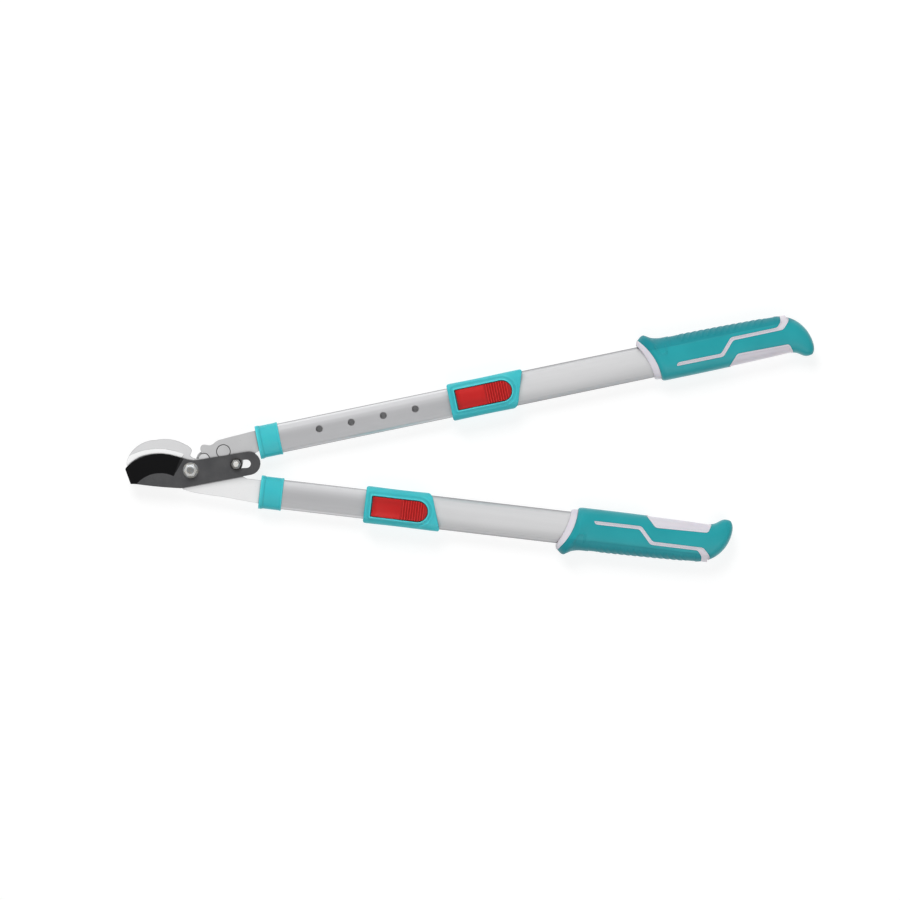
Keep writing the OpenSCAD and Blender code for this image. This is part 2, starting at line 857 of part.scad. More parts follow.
module grip_core() {
    difference() {
        union() {
            along(4, grip_tube_end + 3) oval(core_w, core_h);
            difference() {
                along(-1, 24) stadium(2 * 24.6, grip_h + 1);
                slab(-grip_h, grip_h) before_ring();
                translate([24, -60, -60]) cube(120);
                slab(-grip_h, grip_h)
                    difference() {
                        translate([-50, -60]) square(120);
                        before_cover();
                    }
            }
            intersection() {
                inlay_limit();
                grip_inlays();
            }
        }
        along(-30, grip_tube_end + 0.1) oval(outer_w + 0.1, outer_h + 0.1);
        slab(-grip_h, grip_h) before_ring();
    }
}

module grip_cover() {
    difference() {
        grip_form();
        slab(-60, 60) before_cover();
        along(-30, grip_tube_end + 3.05) oval(core_w + 0.1, core_h + 0.1);
        grip_inlays();
    }
}

module upper_clamp_housing() color(turquoise) upper_frame(upper_reach) clamp_housing();
module lower_clamp_housing() color(turquoise) lower_frame(lower_reach) clamp_housing();
module upper_lock_lever() color("firebrick") upper_frame(upper_reach) lock_lever();
module lower_lock_lever() color("firebrick") lower_frame(lower_reach) lock_lever();
module upper_lever_pin() color(steel) upper_frame(upper_reach) lever_pin();
module lower_lever_pin() color(steel) lower_frame(lower_reach) lever_pin();
module upper_lock_pin() color(steel) upper_frame(upper_reach) lock_pin();
module lower_lock_pin() color(steel) lower_frame(lower_reach) lock_pin();
module upper_lock_spring() color(steel) upper_frame(upper_reach) lock_spring();
module lower_lock_spring() color(steel) lower_frame(lower_reach) lock_spring();
module upper_outer_tube() color(silver) upper_frame(upper_reach) outer_tube();
module lower_outer_tube() color(silver) lower_frame(lower_reach) outer_tube();
module upper_housing_screws() color(steel) upper_frame(upper_reach) housing_screws();
module lower_housing_screws() color(steel) lower_frame(lower_reach) housing_screws();
module upper_grip_core() color(lavender) upper_frame(upper_reach + grip_start) grip_core();
module lower_grip_core() color(lavender) lower_frame(lower_reach + grip_start) grip_core();
module upper_grip_cover() color(teal) upper_frame(upper_reach + grip_start) grip_cover();
module lower_grip_cover() color(teal) lower_frame(lower_reach + grip_start) grip_cover();

hook_jaw();
cutting_blade();
drive_lever();
pivot_bolt();
pivot_washer();
pivot_nut();
slot_bolt();
slot_bush();
slot_washer();
slot_nut();
keeper_rivet();
keeper_plate();
upper_collar();
upper_shank_plug();
upper_shank_pins();
upper_inner_tube();
upper_guide_plug();
upper_clamp_housing();
upper_lock_lever();
upper_lever_pin();
upper_lock_pin();
upper_lock_spring();
upper_outer_tube();
upper_housing_screws();
upper_grip_core();
upper_grip_cover();
lower_collar();
lower_shank_plug();
lower_shank_pins();
lower_inner_tube();
lower_guide_plug();
lower_clamp_housing();
lower_lock_lever();
lower_lever_pin();
lower_lock_pin();
lower_lock_spring();
lower_outer_tube();
lower_housing_screws();
lower_grip_core();
lower_grip_cover();
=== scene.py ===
import json
import math

import bmesh
import bpy
import numpy as np
from mathutils import Matrix, Vector

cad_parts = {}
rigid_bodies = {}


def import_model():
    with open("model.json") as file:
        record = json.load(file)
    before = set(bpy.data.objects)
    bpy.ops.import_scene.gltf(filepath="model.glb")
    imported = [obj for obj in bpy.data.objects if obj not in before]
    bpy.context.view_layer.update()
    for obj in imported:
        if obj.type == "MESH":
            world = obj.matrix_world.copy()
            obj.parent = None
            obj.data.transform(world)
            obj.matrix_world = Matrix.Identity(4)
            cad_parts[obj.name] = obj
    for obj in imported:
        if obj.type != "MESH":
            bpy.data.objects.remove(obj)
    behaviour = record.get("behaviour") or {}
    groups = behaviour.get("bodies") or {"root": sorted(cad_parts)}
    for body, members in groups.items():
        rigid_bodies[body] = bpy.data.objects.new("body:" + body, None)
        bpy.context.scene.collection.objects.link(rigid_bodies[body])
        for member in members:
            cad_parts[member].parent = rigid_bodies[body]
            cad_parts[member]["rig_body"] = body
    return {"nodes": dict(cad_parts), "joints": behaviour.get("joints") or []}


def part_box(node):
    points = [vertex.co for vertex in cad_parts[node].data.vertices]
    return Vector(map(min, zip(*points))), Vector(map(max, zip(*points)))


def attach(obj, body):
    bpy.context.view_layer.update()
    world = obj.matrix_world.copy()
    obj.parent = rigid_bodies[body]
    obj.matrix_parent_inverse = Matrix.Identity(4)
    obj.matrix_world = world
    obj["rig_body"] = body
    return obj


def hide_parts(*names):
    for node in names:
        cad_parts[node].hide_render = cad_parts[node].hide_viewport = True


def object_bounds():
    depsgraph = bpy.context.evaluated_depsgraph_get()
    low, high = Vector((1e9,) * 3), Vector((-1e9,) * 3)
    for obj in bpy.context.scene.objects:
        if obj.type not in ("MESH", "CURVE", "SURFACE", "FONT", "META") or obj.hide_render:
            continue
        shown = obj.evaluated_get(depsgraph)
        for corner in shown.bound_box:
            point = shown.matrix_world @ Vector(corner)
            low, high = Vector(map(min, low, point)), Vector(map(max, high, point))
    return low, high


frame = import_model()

MM = 0.001
SIDES = ("upper", "lower")
cad_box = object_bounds()


# ---- Places taken from the frame ----

def node_points(node):
    """The node's corner points as rows of x, y, z, in metres."""
    vertices = frame["nodes"][node].data.vertices
    points = np.empty(len(vertices) * 3)
    vertices.foreach_get("co", points)
    return points.reshape(-1, 3)


def telescope_axis(side):
    """Direction of a handle, from the head to the grip."""
    joint = next(j for j in frame["joints"] if j["name"] == side + "_telescope")
    return Vector(joint["axis"]).normalized()


def handle_matrix(side):
    """From a handle's own millimetres (x along it, y outwards, z to the front) to the row frame."""
    along = telescope_axis(side)
    outward = Vector((-along.y, along.x, 0)) * (1 if side == "upper" else -1)
    reach = node_points(side + "_inner_tube") @ np.array(outward)
    low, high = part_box(side + "_inner_tube")
    matrix = Matrix((along, outward, (0, 0, 1))).transposed().to_4x4()
    matrix.translation = outward * (reach.min() + reach.max()) / 2
    matrix.translation.z = (low.z + high.z) / 2
    return matrix @ Matrix.Scale(MM, 4)


def move(points, matrix):
    """Rows of x, y, z, moved by a matrix."""
    return points @ np.array(matrix.to_3x3()).T + np.array(matrix.translation)


def local_span(side, node):
    """Lowest and highest corner of a node in the handle's own millimetres."""
    points = move(node_points(node), HANDLE[side].inverted())
    return points.min(0), points.max(0)


HANDLE = {side: handle_matrix(side) for side in SIDES}
BODY_OF = {node: obj["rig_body"] for node, obj in frame["nodes"].items()}
SLOT_OF = {node: obj.data.materials[0].name for node, obj in frame["nodes"].items()}


# ---- Meshes ----

WELD_DISTANCE = 1e-6
# Centre of the arcs at a tube's two edges, in millimetres from its axis
OVAL_END_AT = 10.3


def mesh_object(name, points, faces):
    mesh = bpy.data.meshes.new(name)
    mesh.from_pydata([tuple(p) for p in points], [], [tuple(f) for f in faces])
    obj = bpy.data.objects.new(name, mesh)
    bpy.context.scene.collection.objects.link(obj)
    return obj


def bake(obj):
    """Applies the object's modifiers to its mesh."""
    depsgraph = bpy.context.evaluated_depsgraph_get()
    mesh = bpy.data.meshes.new_from_object(obj.evaluated_get(depsgraph))
    obj.modifiers.clear()
    old = obj.data
    obj.data = mesh
    bpy.data.meshes.remove(old)
    return obj


def copy_node(node, name):
    """A welded copy of a CAD node's mesh."""
    mesh = frame["nodes"][node].data.copy()
    obj = bpy.data.objects.new(name, mesh)
    bpy.context.scene.collection.objects.link(obj)
    weld = bmesh.new()
    weld.from_mesh(mesh)
    bmesh.ops.remove_doubles(weld, verts=weld.verts, dist=WELD_DISTANCE)
    weld.to_mesh(mesh)
    weld.free()
    return obj


def place(obj, matrix):
    """Moves the mesh, and turns its faces the right way out if the matrix mirrors."""
    obj.data.transform(matrix)
    if matrix.determinant() < 0:
        obj.data.flip_normals()
    return obj


def boolean(obj, other, operation):
    """Cuts or joins obj with other, and removes other. Both are closed, with their faces outwards."""
    modifier = obj.modifiers.new("cut", "BOOLEAN")
    modifier.object = other
    modifier.operation = operation
    modifier.solver = "MANIFOLD"
    bake(obj)
    bpy.data.objects.remove(other)
    return obj


def smooth_shading(obj, sharp_deg):
    mesh = obj.data
    mesh.polygons.foreach_set("use_smooth", [True] * len(mesh.polygons))
    mesh.set_sharp_from_angle(angle=math.radians(sharp_deg))


def finish_piece(obj, node):
    """Gives a new piece the material, body and slot of the node that it belongs to."""
    obj.data.materials.clear()
    obj.data.materials.append(material_for(node))
    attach(obj, BODY_OF[node])


def line_hits(p, d, q, e):
    """Where the line from p along d meets the line from q along e."""
    cross = d[0] * e[1] - d[1] * e[0]
    t = ((q[0] - p[0]) * e[1] - (q[1] - p[1]) * e[0]) / cross
    return np.array([p[0] + t * d[0], p[1] + t * d[1]])


def grown(outline, distance):
    """An anticlockwise outline with every edge moved outwards by distance."""
    points = [np.array(p, float) for p in outline]
    edges = []
    for p, q in zip(points, points[1:] + points[:1]):
        d = (q - p) / np.linalg.norm(q - p)
        edges.append((p + distance * np.array([d[1], -d[0]]), d))
    return [line_hits(*edges[i - 1], *edges[i]) for i in range(len(edges))]


def filleted(outline, radius, steps=6):
    """An outline with its corners rounded by up to radius."""
    points = [np.array(p, float) for p in outline]
    result = []
    for i, corner in enumerate(points):
        back = points[i - 1] - corner
        ahead = points[(i + 1) % len(points)] - corner
        back_length, ahead_length = np.linalg.norm(back), np.linalg.norm(ahead)
        reach = min(radius, 0.45 * back_length, 0.45 * ahead_length)
        start = corner + back / back_length * reach
        end = corner + ahead / ahead_length * reach
        for k in range(steps + 1):
            t = k / steps
            result.append((1 - t) ** 2 * start + 2 * t * (1 - t) * corner + t * t * end)
    return result


def prism(outline, low, high):
    """A closed upright prism over an anticlockwise outline."""
    count = len(outline)
    points = [(x, y, z) for z in (low, high) for x, y in outline]
    faces = [tuple(range(count - 1, -1, -1)), tuple(range(count, 2 * count))]
    for i in range(count):
        k = (i + 1) % count
        faces.append((i, k, count + k, count + i))
    return mesh_object("prism", points, faces)


def tube_like(rings):
    """Points and faces of a closed surface through equal rings, with a fan at each end. The rings run
    anticlockwise when they are seen from the last one."""
    rings = np.asarray(rings)
    count, around = rings.shape[:2]
    points = [tuple(p) for ring in rings for p in ring]
    points += [tuple(rings[0].mean(0)), tuple(rings[-1].mean(0))]
    faces = []
    for i in range(count - 1):
        for j in range(around):
            k = (j + 1) % around
            faces.append((i * around + j, i * around + k, (i + 1) * around + k, (i + 1) * around + j))
    for j in range(around):
        k = (j + 1) % around
        faces.append((count * around, k, j))
        faces.append((count * around + 1, (count - 1) * around + j, (count - 1) * around + k))
    return points, faces


def oval_ring(x, width, height, around=120):
    """The tubes' four-arc oval across the handle at x, running from +y over +z."""
    longer = (width - height) / 2
    face_centre = longer * (2 * OVAL_END_AT - longer) / (2 * (OVAL_END_AT - longer))
    face_radius = height / 2 + face_centre
    end_radius = width / 2 - OVAL_END_AT
    turn_over = math.atan2(face_centre, OVAL_END_AT)
    ring = []
    for j in range(around):
        a = 2 * math.pi * (j + 0.5) / around
        right, up = math.copysign(1, math.cos(a)), math.copysign(1, math.sin(a))
        lean = math.atan2(abs(math.sin(a)), abs(math.cos(a)))
        if lean < turn_over:
            y, z = OVAL_END_AT + end_radius * math.cos(lean), end_radius * math.sin(lean)
        else:
            y, z = face_radius * math.cos(lean), face_radius * math.sin(lean) - face_centre
        ring.append((x, right * y, up * z))
    return ring


def oval_bar(low, high, width, height):
    """A bar of the tubes' oval section, along x from low to high."""
    points, faces = tube_like([oval_ring(x, width, height) for x in (low, high)])
    return mesh_object("bar", points, faces)


def smoothstep(low, high, x):
    """0 below low, 1 above high, and a soft step between them."""
    t = np.clip((x - low) / (high - low), 0, 1)
    return t * t * (3 - 2 * t)


# ---- Materials ----

# Name of the mesh attribute that holds a moulding's painted light and shade
PAINTED_LIGHT_ATTRIBUTE = "tint"
# Depth that a bump of full strength stands for
GRAIN_HEIGHT = 0.0001


class Tree:
    """Short calls for building one material's nodes."""

    def __init__(self, name):
        self.material = bpy.data.materials.new(name)
        self.material.use_nodes = True
        self.nodes = self.material.node_tree.nodes
        self.links = self.material.node_tree.links
        self.surface = self.nodes["Principled BSDF"]

    def add(self, kind, settings=None, **inputs):
        node = self.nodes.new("ShaderNode" + kind)
        for key, value in (settings or {}).items():
            setattr(node, key, value)
        for key, value in inputs.items():
            self.set(node.inputs[key.replace("_", " ")], value)
        return node

    def set(self, socket, value):
        if isinstance(value, bpy.types.NodeSocket):
            self.links.new(value, socket)
        else:
            socket.default_value = value

    def math(self, operation, a, b=0.0):
        node = self.nodes.new("ShaderNodeMath")
        node.operation = operation
        self.set(node.inputs[0], a)
        self.set(node.inputs[1], b)
        return node.outputs[0]

    def range(self, value, low, high, to_low=0.0, to_high=1.0):
        """Maps low to to_low and high to to_high, and stays within them."""
        node = self.add("MapRange", Value=value, From_Min=low, From_Max=high, To_Min=to_low, To_Max=to_high)
        return node.outputs[0]

    def product(self, a, b):
        return self.math("MULTIPLY", a, b)

    def total(self, a, b):
        return self.math("ADD", a, b)

    def mix(self, factor, a, b):
        node = self.nodes.new("ShaderNodeMix")
        node.data_type = "RGBA"
        self.set(node.inputs[0], factor)
        self.set(node.inputs[6], a)
        self.set(node.inputs[7], b)
        return node.outputs[2]

    def coordinates(self, stretch=(1, 1, 1), turn=0.0):
        """Object coordinates, turned about Z and stretched."""
        source = self.nodes.new("ShaderNodeTexCoord").outputs["Object"]
        turned = self.add("Mapping", Vector=source, Rotation=(0, 0, -turn))
        return self.add("Mapping", Vector=turned.outputs[0], Scale=stretch).outputs[0]

    def noise(self, where, scale, detail=2.0, roughness=0.5):
        node = self.add("TexNoise", Vector=where, Scale=scale, Detail=detail, Roughness=roughness)
        return node.outputs["Fac"]

    def dot(self, a, b):
        node = self.add("VectorMath", {"operation": "DOT_PRODUCT"})
        self.set(node.inputs[0], a)
        self.set(node.inputs[1], b)
        return node.outputs["Value"]

    def roundness(self, radius):
        """How far the surface turns within radius: 1 where it is flat, less at an edge."""
        rounded = self.add("Bevel", {"samples": 4}, Radius=radius).outputs[0]
        return self.dot(rounded, self.nodes.new("ShaderNodeNewGeometry").outputs["Normal"])

    def edges(self, radius):
        """1 on edges and 0 on open faces, for wear and for painted edge highlights."""
        return self.range(self.roundness(radius), 0.98, 0.80)

    def openness(self, reach):
        """1 on open faces, less in gaps and hollows that are narrower than reach."""
        return self.add("AmbientOcclusion", {"samples": 6}, Distance=reach).outputs["AO"]

    def moulded_tint(self, base, lighter, darker):
        """Blends the mesh's painted light and shade, from 1 for a painted highlight to -1 for painted
        shade, into a base colour.
        """
        tint = self.add("Attribute", {"attribute_name": PAINTED_LIGHT_ATTRIBUTE}).outputs["Fac"]
        base = self.mix(self.range(tint, 0, 1), base, lighter)
        return self.mix(self.range(tint, 0, -1), base, darker)

    def facing_front(self):
        """Height of the face's own normal: 1 on faces that look to the front, 0 on a plate's sides."""
        normal = self.nodes.new("ShaderNodeNewGeometry").outputs["True Normal"]
        return self.add("SeparateXYZ", Vector=normal).outputs["Z"]

    def ground_face(self):
        """1 on faces that are ground at a shallow slope to the plate's front, 0 elsewhere."""
        up = self.facing_front()
        return self.product(self.range(up, 0.9985, 0.9965), self.range(up, 0.6, 0.8))

    def outward_distance(self, side):
        """Distance outwards from a handle's axis, in millimetres."""
        where = self.nodes.new("ShaderNodeTexCoord").outputs["Object"]
        outward = HANDLE[side].inverted()[1]
        return self.total(self.dot(where, tuple(outward[:3])), outward[3])

    def bumps(self, *layers, distance=GRAIN_HEIGHT):
        """Stacks layers of (height, strength) and feeds them to the surface."""
        normal = None
        for height, strength in layers:
            node = self.add("Bump", Height=height, Strength=strength, Distance=distance)
            if normal is not None:
                self.set(node.inputs["Normal"], normal)
            normal = node.outputs[0]
        self.set(self.surface.inputs["Normal"], normal)

    def finish(self, **inputs):
        for key, value in inputs.items():
            self.set(self.surface.inputs[key.replace("_", " ")], value)
        return self.material


def rgb(red, green, blue):
    """A screen colour, 0 to 255, as linear light."""
    def linear(value):
        value /= 255
        return value / 12.92 if value < 0.04045 else ((value + 0.055) / 1.055) ** 2.4
    return (linear(red), linear(green), linear(blue), 1.0)


def grey(level):
    return rgb(level, level, level)


def scaled(tone, factor, lift=0.0):
    """A colour made darker or brighter."""
    return [min(1.0, part * factor + lift) for part in tone[:3]] + [1.0]


def steel_material(name, tone, worn_tone, turn=0.0, roughness=0.34, ground_tone=None):
    """Ground and tumbled steel: fine grinding lines, a pebbled grain, brighter edges and painted shade in
    gaps.
    With a ground_tone, the faces ground at a slope have it, the shank fades to it as a painted reflection,
    and a painted dark line follows the shallow crease round them."""
    # Tones of the painted crease shade, of the cut sides and of the painted shade in gaps
    painted_crease_shade, cut_tone, painted_gap_shade = rgb(80, 80, 82), rgb(138, 138, 141), rgb(20, 20, 22)
    metallic, ground_metallic = 0.72, 0.25
    shank_from, shank_to = -0.004, -0.020
    tree = Tree(name)
    lines = tree.noise(tree.coordinates((30, 900, 300), turn), 3.0, 3.0)
    grain = tree.noise(tree.coordinates(), 1500.0, 2.0)
    cloud = tree.noise(tree.coordinates(), 45.0, 4.0)
    base = tree.mix(tree.range(cloud, 0.3, 0.7, 0.0, 0.35), tone, scaled(tone, 0.86))
    if ground_tone is not None:
        ground = tree.ground_face()
        where = tree.nodes.new("ShaderNodeTexCoord").outputs["Object"]
        shank = tree.range(tree.add("SeparateXYZ", Vector=where).outputs["Y"], shank_from, shank_to)
        # Painted reflection: the lower shank fades towards the bright ground tone
        base = tree.mix(tree.product(shank, 0.6), base, ground_tone)
        base = tree.mix(ground, base, ground_tone)
        metallic = tree.range(ground, 0, 1, metallic, ground_metallic)
        # Painted shade: a dark line along the shallow crease at the ground faces
        crease = tree.range(tree.roundness(0.0008), 0.9998, 0.9988)
        base = tree.mix(tree.product(crease, 0.6), base, painted_crease_shade)
    cut_side = tree.range(tree.math("ABSOLUTE", tree.facing_front()), 0.5, 0.2)
    base = tree.mix(cut_side, base, cut_tone)
    base = tree.mix(tree.product(tree.edges(0.0006), 0.7), base, worn_tone)
    # Painted shade in gaps and hollows, from ambient occlusion
    base = tree.mix(tree.range(tree.openness(0.002), 0.35, 0.85), painted_gap_shade, base)
    rough = tree.total(tree.range(lines, 0.3, 0.7, roughness - 0.07, roughness + 0.07),
                       tree.range(grain, 0.3, 0.7, -0.03, 0.03))
    tree.bumps((lines, 0.18), (grain, 0.12))
    return tree.finish(Base_Color=base, Metallic=metallic, Roughness=rough)


def blade_material(name):
    """Black low-friction coat with a fine pebble, darker and glossier on the ground bevel, and worn
    at the edges."""
    coat, coat_cloud, fleck = rgb(66, 66, 68), rgb(78, 78, 79), grey(104)
    bevel_tone, bare_tone = rgb(5, 5, 6), grey(150)
    tree = Tree(name)
    ground = tree.ground_face()
    pebble = tree.noise(tree.coordinates(), 2200.0, 2.0)
    cloud = tree.noise(tree.coordinates(), 60.0, 4.0)
    scratch = tree.noise(tree.coordinates((40, 1200, 400), 0.12), 2.5, 2.0)
    wear = tree.product(tree.edges(0.0005), tree.range(cloud, 0.35, 0.6))
    flat = tree.mix(tree.range(cloud, 0.3, 0.7), coat, coat_cloud)
    flat = tree.mix(tree.range(pebble, 0.62, 0.74), flat, fleck)
    base = tree.mix(ground, flat, bevel_tone)
    base = tree.mix(tree.product(wear, 0.55), base, bare_tone)
    rough = tree.math("SUBTRACT", tree.range(pebble, 0.3, 0.7, 0.46, 0.58), tree.product(ground, 0.16))
    tree.bumps((pebble, 0.2), (scratch, 0.08))
    return tree.finish(Base_Color=base, Metallic=0.1, Roughness=rough,
                       Specular_IOR_Level=tree.range(ground, 0, 1, 0.35, 0.12))


def zinc_material(name, level):
    """Zinc plating with faint blue and yellow clouds, painted highlights on the edges and painted shade in
    gaps.
    """
    bluish, yellowish = rgb(level - 4, level, level + 4), rgb(level + 4, level, level - 8)
    # Tones of the painted edge highlight and of the painted shade in gaps
    painted_edge_highlight, painted_gap_shade = grey(240), rgb(24, 24, 25)
    tree = Tree(name)
    cloud = tree.noise(tree.coordinates(), 260.0, 3.0)
    grain = tree.noise(tree.coordinates(), 2600.0, 2.0)
    base = tree.mix(tree.range(cloud, 0.35, 0.65), bluish, yellowish)
    # Painted highlight along the edges
    base = tree.mix(tree.product(tree.edges(0.0004), 0.8), base, painted_edge_highlight)
    # Painted shade in gaps and hollows, from ambient occlusion
    base = tree.mix(tree.range(tree.openness(0.0025), 0.2, 0.6), painted_gap_shade, base)
    tree.bumps((grain, 0.12))
    return tree.finish(Base_Color=base, Metallic=0.95, Roughness=tree.range(cloud, 0.3, 0.7, 0.2, 0.32))


def black_oxide_material(name):
    """Blackened steel with brown clouds and bare edges."""
    black, brown, bare_tone = rgb(38, 38, 40), rgb(58, 56, 54), rgb(150, 148, 145)
    tree = Tree(name)
    cloud = tree.noise(tree.coordinates(), 420.0, 3.0)
    base = tree.mix(tree.range(cloud, 0.35, 0.65), black, brown)
    base = tree.mix(tree.product(tree.edges(0.0004), 0.6), base, bare_tone)
    tree.bumps((tree.noise(tree.coordinates(), 2400.0), 0.15))
    return tree.finish(Base_Color=base, Metallic=0.6, Roughness=tree.range(cloud, 0.3, 0.7, 0.35, 0.5))


def tube_material(name, turn, tone, painted_glance_tone, glance, roughness):
    """Satin anodised aluminium: extrusion lines along the tube, a matt grain, a painted tone where the face
    turns away (painted shade on the outer tube, a painted highlight on the inner one) and a painted grey
    shade along the outline."""
    tree = Tree(name)
    lines = tree.noise(tree.coordinates((2, 1400, 1400), turn), 1.0, 3.0)
    grain = tree.noise(tree.coordinates(), 3200.0, 1.0)
    cloud = tree.noise(tree.coordinates((6, 60, 60), turn), 1.0, 3.0)
    facing = tree.add("LayerWeight", Blend=0.5).outputs["Facing"]
    base = tree.mix(tree.range(cloud, 0.3, 0.7), tone, scaled(tone, 0.93))
    # Painted light where the face turns away: shade on the outer tube, a highlight on the inner one
    base = tree.mix(tree.range(facing, *glance), base, painted_glance_tone)
    # Painted grey shade along the outline
    base = tree.mix(tree.range(facing, 0.35, 0.85), base, rgb(120, 120, 122))
    rough = tree.total(tree.range(lines, 0.3, 0.7, roughness - 0.04, roughness + 0.04),
                       tree.range(grain, 0.3, 0.7, -0.02, 0.03))
    tree.bumps((lines, 0.10), (grain, 0.10))
    return tree.finish(Base_Color=base, Metallic=0.85, Roughness=rough)


def plastic_material(name, tone, shade, roughness, grain_strength, subsurface=0.0, edge_painted_highlight=0.35):
    """Moulded plastic: slow colour drift, spark-eroded grain, painted highlights on the edges, the mesh's
    painted light and shade, and painted shade in hollows.
    """
    # Tones of the painted highlight and of the painted shade
    painted_highlight_tone, painted_shade_tone = scaled(tone, 1.25, 0.03), scaled(tone, 0.4)
    tree = Tree(name)
    drift = tree.noise(tree.coordinates(), 28.0, 3.0)
    grain = tree.noise(tree.coordinates(), 1900.0, 2.0)
    pits = tree.add("TexVoronoi", Vector=tree.coordinates(), Scale=1300.0).outputs["Distance"]
    base = tree.mix(tree.range(drift, 0.3, 0.7), tone, shade)
    # Painted highlight along the edges
    base = tree.mix(tree.product(tree.edges(0.0007), edge_painted_highlight), base, painted_highlight_tone)
    # The mesh's own painted light and shade
    base = tree.moulded_tint(base, painted_highlight_tone, painted_shade_tone)
    # Painted shade in hollows, from ambient occlusion
    base = tree.mix(tree.range(tree.openness(0.002), 0.3, 0.75), painted_shade_tone, base)
    rough = tree.total(tree.range(grain, 0.3, 0.7, roughness - 0.05, roughness + 0.06),
                       tree.product(drift, 0.05))
    tree.bumps((grain, grain_strength), (pits, grain_strength * 0.6))
    return tree.finish(Base_Color=base, Roughness=rough, Subsurface_Weight=subsurface,
                       Subsurface_Scale=0.002, Specular_IOR_Level=0.45)


def rubber_material(name, side):
    """Soft overmould: bead-blasted grain, dusty sheen, painted shade in hollows and across the outer flank,
    and a darker, coarser outer panel.
    """
    teal, teal_drift = rgb(30, 158, 166), rgb(20, 148, 156)
    # Tones of the painted flank shade, also used for the darker panel, and of the painted shade in hollows
    painted_flank_shade_and_panel_tone, painted_hollow_shade = rgb(8, 116, 128), rgb(4, 76, 86)
    tree = Tree(name)
    outward = tree.outward_distance(side)
    flank = tree.range(outward, 8.0, 22.0)
    panel = tree.range(outward, 11.2, 12.2)
    drift = tree.noise(tree.coordinates(), 22.0, 4.0)
    grain = tree.noise(tree.coordinates(), 1500.0, 3.0, 0.6)
    beads = tree.add("TexVoronoi", Vector=tree.coordinates(), Scale=950.0).outputs["Distance"]
    base = tree.mix(tree.range(drift, 0.3, 0.7), teal, teal_drift)
    # Painted shade across the outer flank, deepening outwards
    base = tree.mix(tree.product(flank, 0.5), base, painted_flank_shade_and_panel_tone)
    base = tree.mix(tree.product(panel, 0.35), base, painted_flank_shade_and_panel_tone)
    # Painted shade in hollows, from ambient occlusion
    base = tree.mix(tree.range(tree.openness(0.004), 0.45, 0.95), painted_hollow_shade, base)
    rough = tree.total(tree.range(grain, 0.3, 0.7, 0.34, 0.46), tree.product(panel, 0.1))
    tree.bumps((grain, 0.3), (beads, tree.range(panel, 0, 1, 0.2, 0.5)))
    return tree.finish(Base_Color=base, Roughness=rough, Sheen_Weight=0.1, Specular_IOR_Level=0.5)


# By slot, and by node where one has its own tone: tone, tone of the worn edges, turn of the grinding
# lines, roughness, tone of the faces that are ground at a slope
STEELS = {
    "hook_jaw": (rgb(222, 222, 223), grey(236), 1.1, 0.36, grey(250)),
    "forged_steel": (rgb(199, 199, 200), grey(236), 1.1, 0.36),
    "bush_steel": (rgb(150, 150, 152), grey(200)),
    "spring_steel": (rgb(176, 177, 180), grey(220), 0.0, 0.28),
}
# Tone, second tone that it drifts to at random, roughness, strength of the grain, subsurface, strength of
# the painted highlight on the edges
PLASTICS = {
    "turquoise_plastic": (rgb(66, 192, 199), rgb(58, 184, 194), 0.36, 0.14, 0.06, 0.7),
    "liner_plastic": (rgb(52, 54, 56), rgb(44, 46, 48), 0.5, 0.25),
    "red_plastic": (rgb(194, 24, 22), rgb(182, 18, 18), 0.34, 0.12, 0.05),
    "lavender_plastic": (rgb(224, 220, 227), rgb(216, 212, 221), 0.38, 0.14, 0.05, 0.8),
}
# Tone, painted tone at a glance (shade on the outer tube, highlight on the inner), where the face has
# turned far enough for it, roughness
TUBES = {
    "inner_tube": (rgb(188, 188, 190), rgb(214, 214, 216), (0.003, 0.08), 0.40),
    "outer_tube": (rgb(226, 226, 227), rgb(196, 196, 198), (0.015, 0.35), 0.5),
}
# Grey of the plating, in general and where it differs
ZINC_LEVEL = 196
ZINC_LEVELS = {"pivot_washer": 150, "pivot_bolt": 132, "slot_bolt": 216, "slot_nut": 122}
OWN_MATERIAL = ("hook_jaw", "inner_tube", "outer_tube", "grip_cover", *ZINC_LEVELS)
made_materials = {}


def make_material(name, node, slot):
    side, _, part = node.partition("_")
    if slot in PLASTICS:
        return plastic_material(name, *PLASTICS[slot])
    if slot == "zinc_fastener":
        return zinc_material(name, ZINC_LEVELS.get(node, ZINC_LEVEL))
    if slot == "coated_blade":
        return blade_material(name)
    if slot == "black_washer":
        return black_oxide_material(name)
    if slot == "teal_rubber":
        return rubber_material(name, side)
    if slot == "anodised_tube":
        along = telescope_axis(side)
        return tube_material(name, math.atan2(along.y, along.x), *TUBES[part])
    return steel_material(name, *STEELS.get(node, STEELS.get(slot)))


def material_for(node):
    """The material of a node's slot, made once, or once more for a node with a tone or grain of its own."""
    slot = SLOT_OF[node]
    name = slot + "_" + node if node.endswith(OWN_MATERIAL) else slot
    if name not in made_materials:
        made_materials[name] = make_material(name, node, slot)
    return made_materials[name]


# ---- Head: steel plates and hardware with broken edges ----

PLATE_EDGE = 0.00028
SMALL_EDGE = 0.00018
EDGE_SEGMENTS = 2
FLAT_WITHIN = math.radians(0.6)
CREASED_FROM = math.radians(2.5)
ROUNDED_FROM = math.radians(38)
LEVEL_FROM = 0.9


